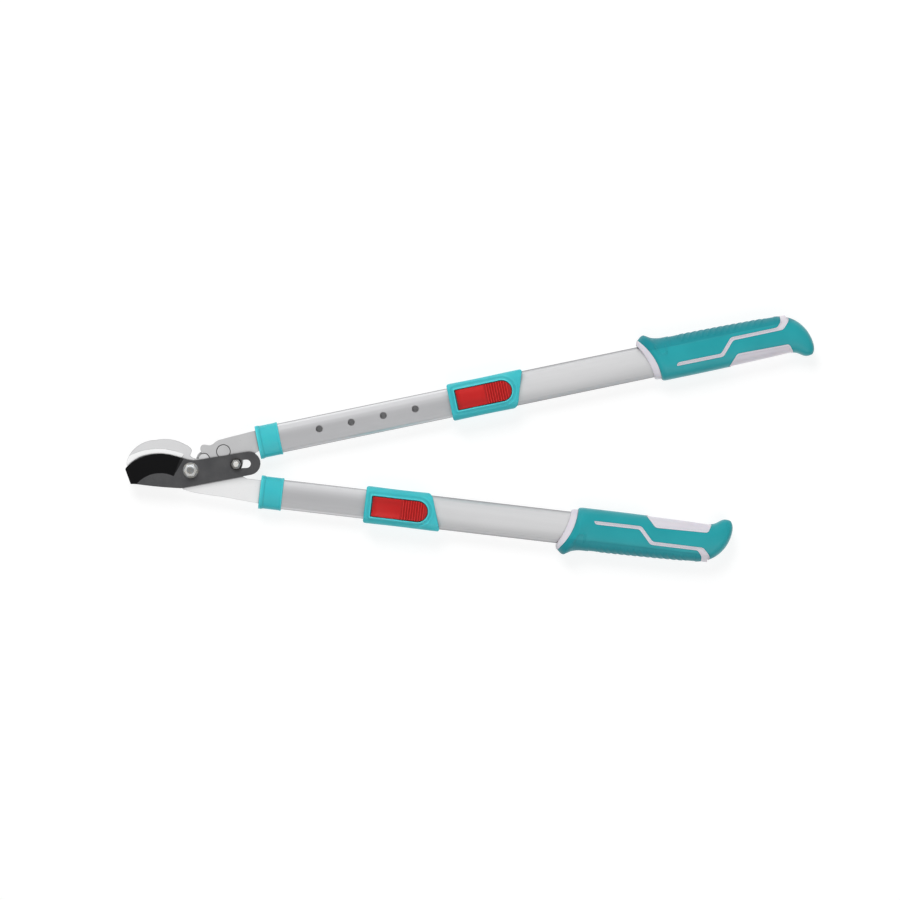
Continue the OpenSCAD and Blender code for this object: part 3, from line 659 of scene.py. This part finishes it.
def broken_edges(node, width):
    """Stands for a CAD node with the same shape, small rounded edges and crisp shallow creases."""
    obj = copy_node(node, node + "_edged")
    flat = bmesh.new()
    flat.from_mesh(obj.data)
    bmesh.ops.dissolve_limit(flat, angle_limit=FLAT_WITHIN, verts=flat.verts, edges=flat.edges,
                             delimit={"NORMAL"})
    for face in flat.faces:
        face.smooth = True
    for edge in flat.edges:
        if len(edge.link_faces) == 2:
            level = min(abs(face.normal.z) for face in edge.link_faces) > LEVEL_FROM
            edge.smooth = not (level and edge.calc_face_angle() > CREASED_FROM)
    flat.to_mesh(obj.data)
    flat.free()
    modifier = obj.modifiers.new("edges", "BEVEL")
    modifier.width = width
    modifier.segments = EDGE_SEGMENTS
    modifier.limit_method = "ANGLE"
    modifier.angle_limit = ROUNDED_FROM
    weighted = obj.modifiers.new("flat_faces", "WEIGHTED_NORMAL")
    weighted.weight = 100
    weighted.keep_sharp = True
    bake(obj)
    finish_piece(obj, node)
    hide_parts(node)


# Radius that a bolt's shank is at least, and its thread's pitch: M8, then M6
THREAD_PITCHES = ((0.0035, 0.00125), (0.0, 0.001))
RIDGE_HEIGHT = 0.00022
RIDGE_ROOT = 0.0002
STEPS_PER_TURN = 40
THREAD_IN_NUT = 0.0012
THREAD_BELOW_TOP = 0.0007


def thread(bolt, nut):
    """Thread on the part of a bolt that stands out of its nut: one ridge wound up the shank, which
    fades out at both ends."""
    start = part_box(nut)[1].z - THREAD_IN_NUT
    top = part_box(bolt)[1].z - THREAD_BELOW_TOP
    points = node_points(bolt)
    shank = points[points[:, 2] > start]
    centre = (shank.min(0) + shank.max(0)) / 2
    radius = (shank[:, 0].max() - shank[:, 0].min()) / 2
    pitch = next(pitch for least, pitch in THREAD_PITCHES if radius > least)
    turns = (top - start) / pitch
    steps = int(turns * STEPS_PER_TURN)
    rings = []
    for i in range(steps + 1):
        a = 2 * math.pi * turns * i / steps
        across, up = math.cos(a), math.sin(a)
        fade = min(1.0, 6 * i / steps, 6 * (steps - i) / steps)
        z = start + (top - start) * i / steps
        section = ((-RIDGE_ROOT, pitch * 0.42), (RIDGE_HEIGHT * fade, pitch * 0.08),
                   (RIDGE_HEIGHT * fade, -pitch * 0.08), (-RIDGE_ROOT, -pitch * 0.42))
        rings.append([(centre[0] + (radius + r) * across, centre[1] + (radius + r) * up, z + h)
                      for r, h in section])
    obj = mesh_object(bolt + "_thread", *tube_like(rings))
    smooth_shading(obj, 50)
    finish_piece(obj, bolt)


# ---- Moulded shells: the CAD shape with soft edges and the moulding's own relief ----

def softened(node, voxel, rounds, shape):
    """Stands for a CAD node that is really a moulding: remeshed at voxel millimetres and smoothed in
    so many rounds. shape moves the points and gives them painted light and shade, in the handle's
    millimetres."""
    side = node.split("_")[0]
    obj = place(copy_node(node, node + "_moulded"), HANDLE[side].inverted())
    remesh = obj.modifiers.new("remesh", "REMESH")
    remesh.mode = "VOXEL"
    remesh.voxel_size = voxel
    smooth = obj.modifiers.new("soften", "SMOOTH")
    smooth.iterations = rounds
    smooth.factor = 0.5
    bake(obj)
    points = np.empty(len(obj.data.vertices) * 3)
    obj.data.vertices.foreach_get("co", points)
    points, tint = shape(points.reshape(-1, 3))
    obj.data.vertices.foreach_set("co", points.ravel())
    obj.data.attributes.new(PAINTED_LIGHT_ATTRIBUTE, "FLOAT", "POINT").data.foreach_set("value", tint)
    place(obj, HANDLE[side])
    smooth_shading(obj, 60)
    finish_piece(obj, node)
    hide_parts(node)


def pocket_distance(e, t, lever):
    """Distance from the lock lever's outline in plan: square at the head end, round at the thumb end."""
    low, high = lever
    half = (high[1] - low[1]) / 2
    middle = (high[1] + low[1]) / 2
    round_at = high[0] - half
    across = np.abs(t - middle)
    straight = np.hypot(np.maximum(low[0] - e, 0), np.maximum(across - half, 0))
    rounded = np.maximum(np.hypot(e - round_at, t - middle) - half, 0)
    return np.where(e > round_at, rounded, straight)


def hump(x, centre, width):
    """1 at the centre, falling away to 0 on both sides."""
    return np.exp(-((x - centre) / width) ** 2)


def collar_shape(side):
    """Painted highlights along the lip and the far end, and painted shade on the step behind the lip."""
    low, high = local_span(side, side + "_collar")

    def shape(points):
        s = points[:, 0] - low[0]
        length = high[0] - low[0]
        # Painted highlight at the lip and the far end, painted shade on the step
        tint = 0.75 * hump(s, 1.0, 0.8) - 0.35 * hump(s, 5.0, 0.7) + 0.4 * hump(s, length - 0.8, 0.8)
        return points, tint

    return shape


def housing_shape(side):
    """Rim round the lever's pocket, an arc behind it, faces that fall away and a waisted back, with painted
    highlights on the rim and arc and painted shade in the hollow between them.
    """
    lever = local_span(side, side + "_lock_lever")
    low, high = local_span(side, side + "_clamp_housing")
    round_at = lever[1][0] - (lever[1][1] - lever[0][1]) / 2

    def shape(points):
        e, t, z = points.T
        gap = pocket_distance(e, t, lever)
        front = smoothstep(high[2] - 5.5, high[2] - 1.0, z)
        rim = 0.8 * hump(gap, 1.3, 0.9)
        arc = 0.45 * hump(gap, 6.0, 0.9) * smoothstep(round_at, round_at + 8, e)
        fall = 0.7 * smoothstep(2.2, 11.0, gap)
        hollow = 0.5 * hump(gap, 4.0, 1.3)
        tail = 1.6 * smoothstep(high[0] - 16, high[0], e)
        moved = np.column_stack([e, t, z + front * (rim + arc - hollow - fall - tail)])
        side_face = smoothstep(16.0, 20.5, np.abs(t)) * (1 - smoothstep(6.0, 13.0, np.abs(z)))
        middle = hump(e, (low[0] + high[0]) / 2 - 6, 22)
        moved[:, 1] -= np.sign(t) * side_face * middle * 0.7
        # Painted highlight on the rim and arc, painted shade in the hollow
        tint = front * (0.95 * hump(gap, 1.2, 0.9) + 0.7 * arc - 0.28 * hump(gap, 4.2, 1.6))
        return moved, tint

    return shape


def lever_shape(side):
    """Thumb dish, crowned across, with painted highlights on the rib crests, painted shade in the grooves
    and at the head end, a painted highlight along one side and painted shade along the other, and room to
    tip in its pocket.
    """
    low, high = local_span(side, side + "_lock_lever")
    middle = (low[1] + high[1]) / 2

    def shape(points):
        e, t, z = points.T
        along = (e - low[0]) / (high[0] - low[0])
        across = (t - middle) / ((high[1] - low[1]) / 2)
        top = smoothstep(high[2] - 2.6, high[2] - 1.4, z)
        ribbed = smoothstep(0.50, 0.53, along)
        dish = 0.7 * np.sin(np.clip((along - 0.08) / 0.42, 0, 1) * math.pi) ** 2
        crown = 0.5 * across ** 2
        head_room = 0.4 * (1 - smoothstep(0.0, 0.06, along))
        slim = 0.975
        moved = np.column_stack([e + head_room, middle + slim * (t - middle), z - top * (dish + crown)])
        crest = smoothstep(high[2] - 0.9, high[2] - 0.15, z)
        # Painted highlights on crests and one side, painted shade in grooves, at the head end and on the
        # other side
        tint = 0.5 * ribbed * crest - 0.42 * ribbed * (1 - crest) - 0.5 * (1 - smoothstep(0.0, 0.1, along))
        tint += 0.3 * (1 - ribbed) * hump(across, 0.75, 0.3) - 0.25 * (1 - ribbed) * hump(across, -0.6, 0.3)
        return moved, tint

    return shape


# ---- Grip ----

# Each station: outer edge (along, outwards), inner edge (along, outwards), forward bow and half
# thickness, in millimetres from the grip's start
RING_STATIONS = np.array([
    (1.0, 19.2, 13.6, -19.2, 2.3, 11.4),
    (0.1, 20.8, 13.5, -20.4, 2.3, 12.6),
    (0.3, 22.2, 14.2, -21.3, 2.5, 13.5),
    (1.0, 24.2, 16.6, -21.9, 3.4, 14.3),
    (1.6, 25.4, 18.8, -22.2, 4.3, 14.8),
    (2.4, 26.0, 20.4, -22.2, 5.0, 15.0),
    (3.4, 25.6, 22.2, -21.4, 5.0, 14.4),
    (6.0, 22.4, 25.6, -20.4, 5.0, 13.5),
])
COVER_STATIONS = np.array([
    (2.9, 24.2, 21.4, -21.2, 5.0, 14.0),
    (2.4, 25.6, 21.1, -22.6, 5.0, 15.1),
    (4.0, 27.2, 22.0, -24.0, 5.0, 16.4),
    (7.4, 29.9, 24.4, -24.8, 5.0, 17.6),
    (9.8, 30.6, 26.6, -25.0, 4.8, 18.0),
    (13.2, 29.0, 30.0, -25.0, 4.3, 17.8),
    (18.0, 26.2, 34.8, -25.0, 3.5, 17.1),
    (25.0, 24.3, 40.6, -25.0, 2.5, 16.4),
    (37.0, 23.8, 50.2, -25.0, 1.2, 16.0),
    (60.0, 23.6, 66.0, -25.0, 0.3, 15.9),
    (90.0, 23.2, 90.0, -24.8, 0.0, 16.0),
    (120.0, 22.6, 120.0, -24.4, 0.0, 16.0),
    (148.0, 21.7, 148.0, -23.9, 0.0, 15.9),
    (166.0, 20.4, 163.0, -23.5, 0.5, 15.7),
    (177.0, 16.6, 170.5, -23.3, 1.2, 15.2),
    (186.5, 9.4, 175.8, -23.9, 1.8, 14.3),
    (193.0, 0.6, 179.6, -25.7, 2.2, 13.0),
    (196.8, -8.6, 182.6, -27.8, 2.2, 11.6),
    (198.3, -16.0, 185.2, -29.4, 2.0, 10.2),
    (198.5, -20.5, 187.4, -30.2, 1.8, 8.8),
    (197.9, -24.2, 190.0, -30.5, 1.5, 6.6),
    (196.5, -27.0, 192.6, -30.2, 0.9, 3.6),
])
# Power of the superellipse that a section is: 2 is an ellipse, more is squarer
SECTION_POWER = 2.7
# Outlines in plan from the grip's start, both anticlockwise
STRIPE = ((40.0, -11.5), (94.5, -11.7), (109.0, 4.2), (167.0, 4.4), (175.6, 13.0), (176.2, 32.0),
          (167.6, 32.0), (166.4, 14.0), (161.0, 8.0), (107.0, 7.8), (92.5, -8.1), (42.6, -7.9))
PAD = ((98.4, -30.0), (173.6, -30.0), (173.6, -22.0), (170.4, -13.2), (110.6, -12.0), (98.4, -25.2))
# Outline, radius of its corners and width of its raised rim
INLAYS = ((STRIPE, 2.6, 0.8), (PAD, 3.0, 1.6))
INLAY_PROUD = 0.25
INLAY_SUNK = 0.5
INLAY_GAP = 0.18
INLAY_REACH = 30
SLEEVE_SIZE = (41.0, 26.6)
SLEEVE_START = 24.6
GRIP_OVER_TUBE = 151.0
BORE_START = -30
PANEL_DEPTH = 0.5
RIB_PITCH = 7.5
RIB_SLANT = 0.75
ARCH = ((19.5, 15.0), (23.5, 6.2), (25.2, 4.8), (30.6, 4.8), (32.0, 6.2), (32.0, 13.5))
ARCH_HEIGHT = 0.55


def spline(knots, count):
    """Rows along a smooth curve through the knots, evenly spread over its length."""
    steps = np.linalg.norm(np.diff(knots, axis=0), axis=1)
    at = np.concatenate(([0.0], np.cumsum(steps)))
    slopes = np.gradient(knots, at, axis=0)
    where = np.linspace(0, at[-1], count)
    index = np.clip(np.searchsorted(at, where, side="right") - 1, 0, len(at) - 2)
    width = (at[index + 1] - at[index])[:, None]
    u = (where - at[index])[:, None] / width
    return ((2 * u ** 3 - 3 * u ** 2 + 1) * knots[index] + (u ** 3 - 2 * u ** 2 + u) * width * slopes[index]
            + (-2 * u ** 3 + 3 * u ** 2) * knots[index + 1] + (u ** 3 - u ** 2) * width * slopes[index + 1])


def grip_rings(stations, count, around):
    """Superellipse sections between the outer and inner edges, as an array of rings of points."""
    rows = spline(stations, count)
    angle = 2 * np.pi * (np.arange(around) + 0.5) / around
    x = np.sign(np.cos(angle)) * np.abs(np.cos(angle)) ** (2 / SECTION_POWER)
    y = np.sign(np.sin(angle)) * np.abs(np.sin(angle)) ** (2 / SECTION_POWER)
    outer, inner = rows[:, None, 0:2], rows[:, None, 2:4]
    chord = outer - inner
    ahead = np.stack([chord[..., 1], -chord[..., 0]], axis=-1) / np.linalg.norm(chord, axis=-1)[..., None]
    bow = rows[:, None, 4:5] * (1 - x ** 2)[None, :, None]
    plan = inner + chord * ((1 + x) / 2)[None, :, None] + ahead * bow
    height = rows[:, 5:6] * y[None, :]
    return np.concatenate([plan, height[..., None]], axis=-1)


def ring_normals(rings):
    """Outward normals of the surface through the rings."""
    along = np.gradient(rings, axis=0)
    around = np.roll(rings, -1, axis=1) - np.roll(rings, 1, axis=1)
    normal = np.cross(around, along)
    return normal / np.maximum(np.linalg.norm(normal, axis=-1), 1e-9)[..., None]


def segment_distance(g, t, start, end):
    """Distance in plan from the stretch between two points."""
    start, end = np.array(start), np.array(end)
    span = end - start
    u = np.clip(((g - start[0]) * span[0] + (t - start[1]) * span[1]) / (span @ span), 0, 1)
    return np.hypot(g - start[0] - u * span[0], t - start[1] - u * span[1])


def grip_relief(rings):
    """Height of the overmould's moulded relief: a sunk side panel with oblique ribs, and an arch
    ahead of it."""
    g, t, z = rings[..., 0], rings[..., 1], rings[..., 2]
    depth = np.abs(z)
    panel = smoothstep(11.4, 12.0, t) * smoothstep(37, 38.2, g) * (1 - smoothstep(159.5, 160.7, g))
    wave = ((g + RIB_SLANT * depth) / RIB_PITCH) % 1.0
    rib = smoothstep(0.08, 0.2, wave) * (1 - smoothstep(0.42, 0.54, wave))
    reach = smoothstep(14.6, 15.6, t) * smoothstep(46, 48, g) * (1 - smoothstep(148, 152, g))
    to_arch = np.min([segment_distance(g, t, a, b) for a, b in zip(ARCH, ARCH[1:])], axis=0)
    arch = (1 - smoothstep(0.45, 1.05, to_arch)) * smoothstep(5.0, 8.0, depth)
    return -PANEL_DEPTH * panel + PANEL_DEPTH * panel * rib * reach + ARCH_HEIGHT * arch


def grip_form(stations, offset=0.0, relief=False, count=330, around=150):
    """The closed form through the stations, pushed out by offset and by the relief."""
    rings = grip_rings(stations, count, around)
    height = np.full(rings.shape[:2], offset)
    if relief:
        height = height + grip_relief(rings)
    return mesh_object("grip_form", *tube_like(rings + ring_normals(rings) * height[..., None]))


def inlay_form(offset):
    return grip_form(COVER_STATIONS, offset, count=180, around=100)


def inlay_prism(outline, grow, radius):
    return prism(filleted(grown(outline, grow), radius), -INLAY_REACH, INLAY_REACH)


def make_inlay(outline, radius, rim):
    """Hard inlay, a little proud of the cover: a raised rim and a slightly sunk field."""
    inlay = boolean(inlay_form(INLAY_PROUD), inlay_prism(outline, 0, radius), "INTERSECT")
    field = inlay_prism(outline, -rim, max(radius - rim, 0.4))
    boolean(field, inlay_form(-INLAY_SUNK), "DIFFERENCE")
    return boolean(inlay, field, "DIFFERENCE")


def make_grips():
    """One cover and one core, in millimetres from the grip's start, shared by both handles."""
    slip = 0.1
    start = grip_start("upper")
    tube_low, tube_high = local_span("upper", "upper_outer_tube")
    tube_width, tube_height = (tube_high - tube_low)[1:] + slip
    sleeve_end = local_span("upper", "upper_grip_core")[1][0] - start
    sleeve_width, sleeve_height = SLEEVE_SIZE
    cover = grip_form(COVER_STATIONS, relief=True)
    for outline, radius, _ in INLAYS:
        boolean(cover, inlay_prism(outline, INLAY_GAP, radius), "DIFFERENCE")
    boolean(cover, oval_bar(BORE_START, sleeve_end, sleeve_width, sleeve_height), "DIFFERENCE")
    core = grip_form(RING_STATIONS, count=48)
    sleeve = oval_bar(SLEEVE_START, sleeve_end - slip / 2, sleeve_width - slip, sleeve_height - slip)
    boolean(core, sleeve, "UNION")
    for outline, radius, rim in INLAYS:
        boolean(core, make_inlay(outline, radius, rim), "UNION")
    boolean(core, oval_bar(BORE_START, tube_high[0] - start + slip, tube_width, tube_height), "DIFFERENCE")
    return cover, core


def grip_start(side):
    """Where the grip's stations begin along the handle, from the tube's hidden end inside it."""
    return local_span(side, side + "_outer_tube")[1][0] - GRIP_OVER_TUBE


def add_grips():
    cover, core = make_grips()
    for side in SIDES:
        to_frame = HANDLE[side] @ Matrix.Translation((grip_start(side), 0, 0))
        for master, node in ((cover, side + "_grip_cover"), (core, side + "_grip_core")):
            obj = bpy.data.objects.new(node + "_moulded", master.data.copy())
            bpy.context.scene.collection.objects.link(obj)
            place(obj, to_frame)
            smooth_shading(obj, 32)
            finish_piece(obj, node)
            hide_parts(node)
    for master in (cover, core):
        bpy.data.objects.remove(master)


# ---- Stage ----

FLOOR_SIZE = 12.0
FLOOR_GAP = 0.0002
PAPER = (0.26, 0.26, 0.26, 1.0)
PAPER_RELIEF = 0.0005
PAPER_GLOW = 0.8
WHITE = (1.0, 1.0, 1.0, 1.0)
# Levels of the world in reflections: overhead, round the horizon from near to far, and between them
CEILING_LEVEL = 0.95
HORIZON_LEVELS = (0.95, 2.2)
BAND_LEVELS = (0.5, 0.9)
# Share of the world that lights matt surfaces
WORLD_FILL = 0.03
KEY_WATTS = 70
FILL_WATTS = 40
VIEW_CENTRE = (0.2960, 0.0101, 0.0075)
VIEW_WIDTH = 1.026
VIEW_TURN = 2.52
LENS = 200.0
SENSOR = 36.0


def make_floor():
    """A pale paper floor that glows a little, just under the object."""
    level = cad_box[0].z - FLOOR_GAP
    corners = [(x * FLOOR_SIZE, y * FLOOR_SIZE, level) for x, y in ((-1, -1), (1, -1), (1, 1), (-1, 1))]
    floor = mesh_object("floor", corners, [(0, 1, 2, 3)])
    tree = Tree("floor")
    fibres = tree.noise(tree.coordinates(), 300.0, 3.0)
    tree.bumps((fibres, 0.02), distance=PAPER_RELIEF)
    floor.data.materials.append(tree.finish(
        Base_Color=PAPER, Roughness=0.8, Specular_IOR_Level=0.1,
        Emission_Color=WHITE, Emission_Strength=PAPER_GLOW))


def area_light(name, place_at, target, size, power):
    """A square light that is seen neither directly nor in reflections."""
    light = bpy.data.lights.new(name, "AREA")
    light.shape = "SQUARE"
    light.size = size
    light.energy = power
    obj = bpy.data.objects.new(name, light)
    bpy.context.scene.collection.objects.link(obj)
    obj.location = place_at
    obj.rotation_mode = "QUATERNION"
    obj.rotation_quaternion = (Vector(target) - Vector(place_at)).to_track_quat("-Z", "Y")
    obj.visible_camera = False
    obj.visible_glossy = False


class WorldTree(Tree):
    """The same short calls for the world's nodes."""

    def __init__(self, world):
        world.use_nodes = True
        self.nodes = world.node_tree.nodes
        self.links = world.node_tree.links


def make_world():
    """A white studio with a grey ceiling, a bright far wall and a darker band between wall and ceiling."""
    world = bpy.data.worlds.new("studio")
    bpy.context.scene.world = world
    tree = WorldTree(world)
    where = tree.nodes.new("ShaderNodeTexCoord").outputs["Generated"]
    split = tree.add("SeparateXYZ", Vector=where)
    height, far = split.outputs["Z"], split.outputs["Y"]
    ceiling = tree.range(height, 0.72, 0.93, 0.0, CEILING_LEVEL)
    horizon = tree.product(tree.range(height, 0.30, 0.12), tree.range(far, 0.5, 0.9, *HORIZON_LEVELS))
    in_band = tree.product(tree.range(height, 0.12, 0.30), tree.range(height, 0.93, 0.72))
    band = tree.product(in_band, tree.range(far, 0.1, 0.5, *BAND_LEVELS))
    level = tree.total(tree.total(ceiling, horizon), band)
    diffuse = tree.nodes.new("ShaderNodeLightPath").outputs["Is Diffuse Ray"]
    background = tree.nodes["Background"]
    tree.set(background.inputs["Color"], WHITE)
    tree.set(background.inputs["Strength"], tree.product(level, tree.range(diffuse, 0, 1, 1.0, WORLD_FILL)))


def make_lights():
    middle = (cad_box[0] + cad_box[1]) / 2
    area_light("key", middle + Vector((-0.5, 1.9, 2.2)), middle, 1.6, KEY_WATTS)
    area_light("fill", middle + Vector((0.6, -1.6, 2.2)), middle, 2.2, FILL_WATTS)
    make_world()


def make_camera():
    """Straight down on the front, turned a little in the picture plane."""
    camera = bpy.data.cameras.new("camera")
    camera.lens = LENS
    camera.sensor_width = SENSOR
    obj = bpy.data.objects.new("camera", camera)
    bpy.context.scene.collection.objects.link(obj)
    obj.location = Vector(VIEW_CENTRE) + Vector((0, 0, VIEW_WIDTH * LENS / SENSOR))
    obj.rotation_euler = (0, 0, -math.radians(VIEW_TURN))
    bpy.context.scene.camera = obj
    bpy.context.scene.view_settings.view_transform = "Standard"


# ---- Putting it together ----

# Voxel in millimetres, rounds of smoothing, and the shape of its relief and of its painted light and shade
MOULDINGS = {
    "_collar": (0.5, 5, collar_shape),
    "_clamp_housing": (0.55, 6, housing_shape),
    "_lock_lever": (0.27, 2, lever_shape),
}


def paint_cad_nodes():
    for node, obj in frame["nodes"].items():
        obj.data.materials[0] = material_for(node)
        smooth_shading(obj, 30)


paint_cad_nodes()
for plate in ("hook_jaw", "drive_lever", "cutting_blade"):
    broken_edges(plate, PLATE_EDGE)
for part in ("pivot_washer", "slot_washer", "keeper_rivet", "keeper_plate"):
    broken_edges(part, SMALL_EDGE)
thread("pivot_bolt", "pivot_nut")
thread("slot_bolt", "slot_nut")
for side in SIDES:
    for part, (voxel, rounds, shape_for) in MOULDINGS.items():
        softened(side + part, voxel, rounds, shape_for(side))
add_grips()
make_floor()
make_lights()
make_camera()
